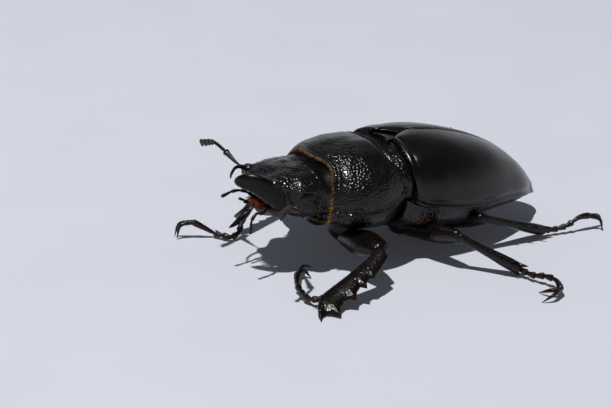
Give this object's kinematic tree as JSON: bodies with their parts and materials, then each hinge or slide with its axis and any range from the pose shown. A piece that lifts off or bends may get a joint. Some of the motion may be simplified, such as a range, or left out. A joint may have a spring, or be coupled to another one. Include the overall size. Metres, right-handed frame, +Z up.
{
  "type": "stag beetle",
  "caption": "Life-size female stag beetle standing on its feet, with domed wing cases, a broad collar shield, short jaws and comb-tipped feelers, as a still museum-like model.",
  "frame": {"origin": "on the floor, under the middle of the beetle's span", "axes": "-Y towards the head, +X towards the beetle's left side, +Z up from the floor it stands on"},
  "size_m": [0.0472, 0.0475, 0.0134],
  "materials": {
    "shell": "satin",
    "wing_case": "satin gloss",
    "leg": "satin",
    "jaw": "satin",
    "eye": "gloss",
    "feeler": "matte",
    "mouth": "matte"
  },
  "bodies": {
    "root": {"abdomen": "shell", "antenna_l": "feeler", "antenna_r": "feeler", "coxa_front_l": "leg", "coxa_front_r": "leg", "coxa_hind_l": "leg", "coxa_hind_r": "leg", "coxa_middle_l": "leg", "coxa_middle_r": "leg", "eye_l": "eye", "eye_r": "eye", "femur_front_l": "leg", "femur_front_r": "leg", "femur_hind_l": "leg", "femur_hind_r": "leg", "femur_middle_l": "leg", "femur_middle_r": "leg", "head": "shell", "mandible_l": "jaw", "mandible_r": "jaw", "mesothorax": "shell", "metathorax": "shell", "mouth_base": "mouth", "palp_long_l": "feeler", "palp_long_r": "feeler", "palp_short_l": "feeler", "palp_short_r": "feeler", "pronotum": "shell", "prosternum": "shell", "scape_l": "feeler", "scape_r": "feeler", "scutellum": "shell", "tarsus_front_l": "leg", "tarsus_front_r": "leg", "tarsus_hind_l": "leg", "tarsus_hind_r": "leg", "tarsus_middle_l": "leg", "tarsus_middle_r": "leg", "tibia_front_l": "leg", "tibia_front_r": "leg", "tibia_hind_l": "leg", "tibia_hind_r": "leg", "tibia_middle_l": "leg", "tibia_middle_r": "leg", "wing_case_l": "wing_case", "wing_case_r": "wing_case"}
  },
  "joints": []
}
